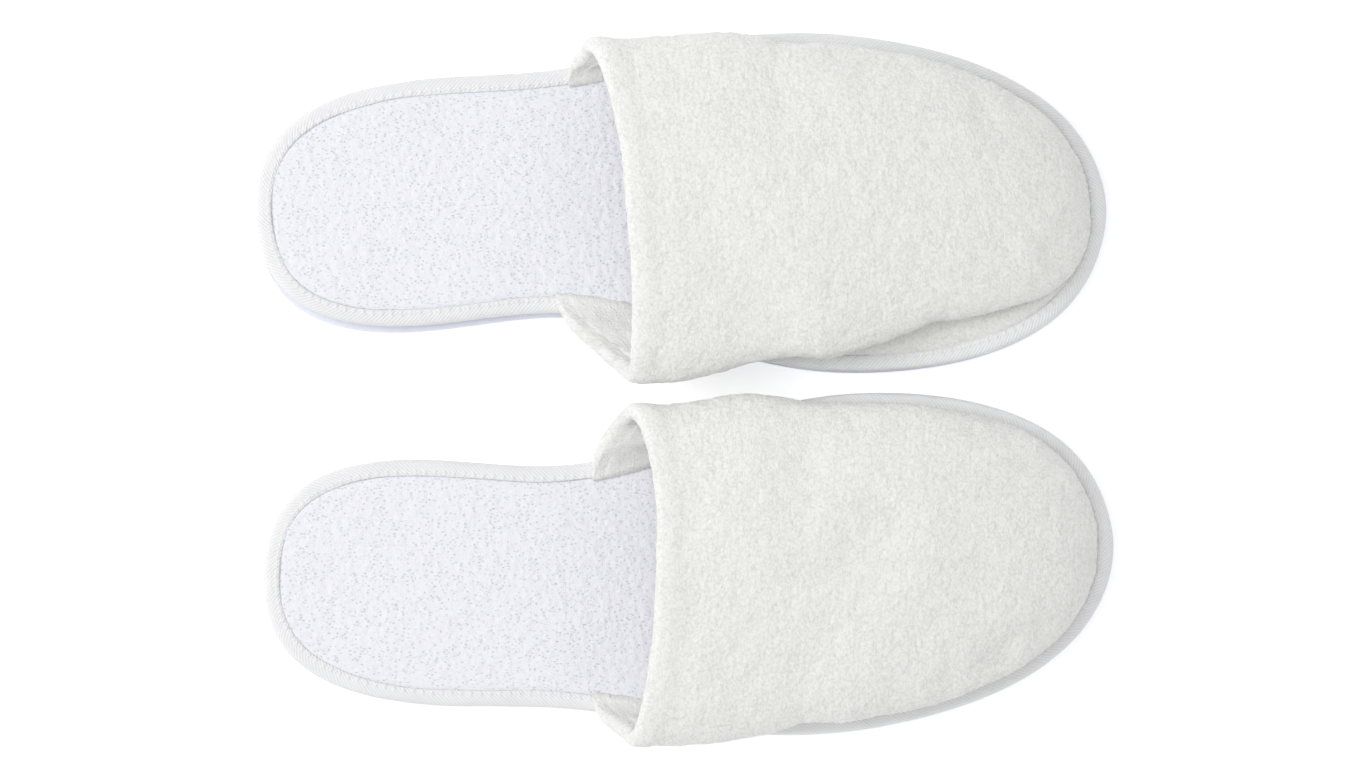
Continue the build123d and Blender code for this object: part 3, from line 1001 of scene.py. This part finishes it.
def finish_kept_nodes(materials):
    """The CAD pieces that stay as they are get the finish of their slot."""
    slots = {"outsole": "eva_outsole", "base_cloth": "base_cloth", "sole_foam": "sole_foam"}
    for side in SLIPPERS:
        for node, slot in slots.items():
            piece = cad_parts[f"{side}_{node}"]
            for place in piece.material_slots:
                place.material = materials[slot]


# ---------------------------------------------------------------- the studio


def make_floor():
    """A pale floor that gives off a little light, so that nothing round the slippers looks grey."""
    bpy.ops.mesh.primitive_plane_add(size=6)
    floor = bpy.context.object
    floor.name = "floor"
    floor.location.z = -0.0004
    paper = bpy.data.materials.new("pale_paper")
    paper.use_nodes = True
    tree = paper.node_tree
    shader = tree.nodes["Principled BSDF"]
    shader.inputs["Roughness"].default_value = 0.9
    grain = add(tree, "ShaderNodeTexNoise", {"Scale": 60.0})
    ramp = add(tree, "ShaderNodeValToRGB", links={"Fac": grain.outputs["Fac"]})
    ramp.color_ramp.elements[0].color = colour("#F9F9F9")
    ramp.color_ramp.elements[1].color = colour("#FBFBFB")
    tree.links.new(ramp.outputs["Color"], shader.inputs["Base Color"])
    shader.inputs["Emission Color"].default_value = (1, 1, 1, 1)
    shader.inputs["Emission Strength"].default_value = 0.32
    floor.data.materials.append(paper)


def make_lights():
    """Even light from all round, and three soft lamps: name, place, size and power."""
    world = bpy.data.worlds.new("studio")
    world.use_nodes = True
    sky = world.node_tree.nodes["Background"]
    sky.inputs["Color"].default_value = (1, 1, 1, 1)
    sky.inputs["Strength"].default_value = 0.52
    bpy.context.scene.world = world
    for name, place, size, power in (
        ("heel_side", (-1.2, 0.3, 1.3), 0.9, 12.2),
        ("overhead", (-0.3, 0.1, 1.8), 1.2, 8.2),
        ("toe_side", (0.9, -1.0, 1.0), 1.0, 1.8),
    ):
        light = bpy.data.lights.new(name, "AREA")
        light.size = size
        light.energy = power
        lamp = bpy.data.objects.new(name, light)
        lamp.location = place
        lamp.rotation_euler = (-Vector(place)).to_track_quat("-Z", "Y").to_euler()
        bpy.context.scene.collection.objects.link(lamp)


def make_camera():
    """The camera, high above the pair and looking straight down."""
    camera = bpy.data.objects.new("camera", bpy.data.cameras.new("camera"))
    camera.data.sensor_width = SENSOR_WIDTH
    camera.data.lens = SENSOR_WIDTH * CAMERA_HEIGHT / VIEW_WIDTH
    camera.location = (*VIEW_CENTRE, CAMERA_HEIGHT)
    bpy.context.scene.collection.objects.link(camera)
    bpy.context.scene.camera = camera
    bpy.context.scene.view_settings.view_transform = "Standard"


def main():
    """Makes both slippers and the studio."""
    materials = make_materials()
    for side in SLIPPERS:
        slipper = Slipper(side)
        form = VampForm(slipper)
        moved = settle(form)
        make_vamp(slipper, form, moved, materials)
        make_lining(slipper, form, moved, materials)
        make_vamp_foam(slipper, form, moved, materials)
        make_footbed(slipper, materials)
        make_binding(slipper, materials)
        make_stitches(slipper, materials)
    finish_kept_nodes(materials)
    make_floor()
    make_lights()
    make_camera()


main()
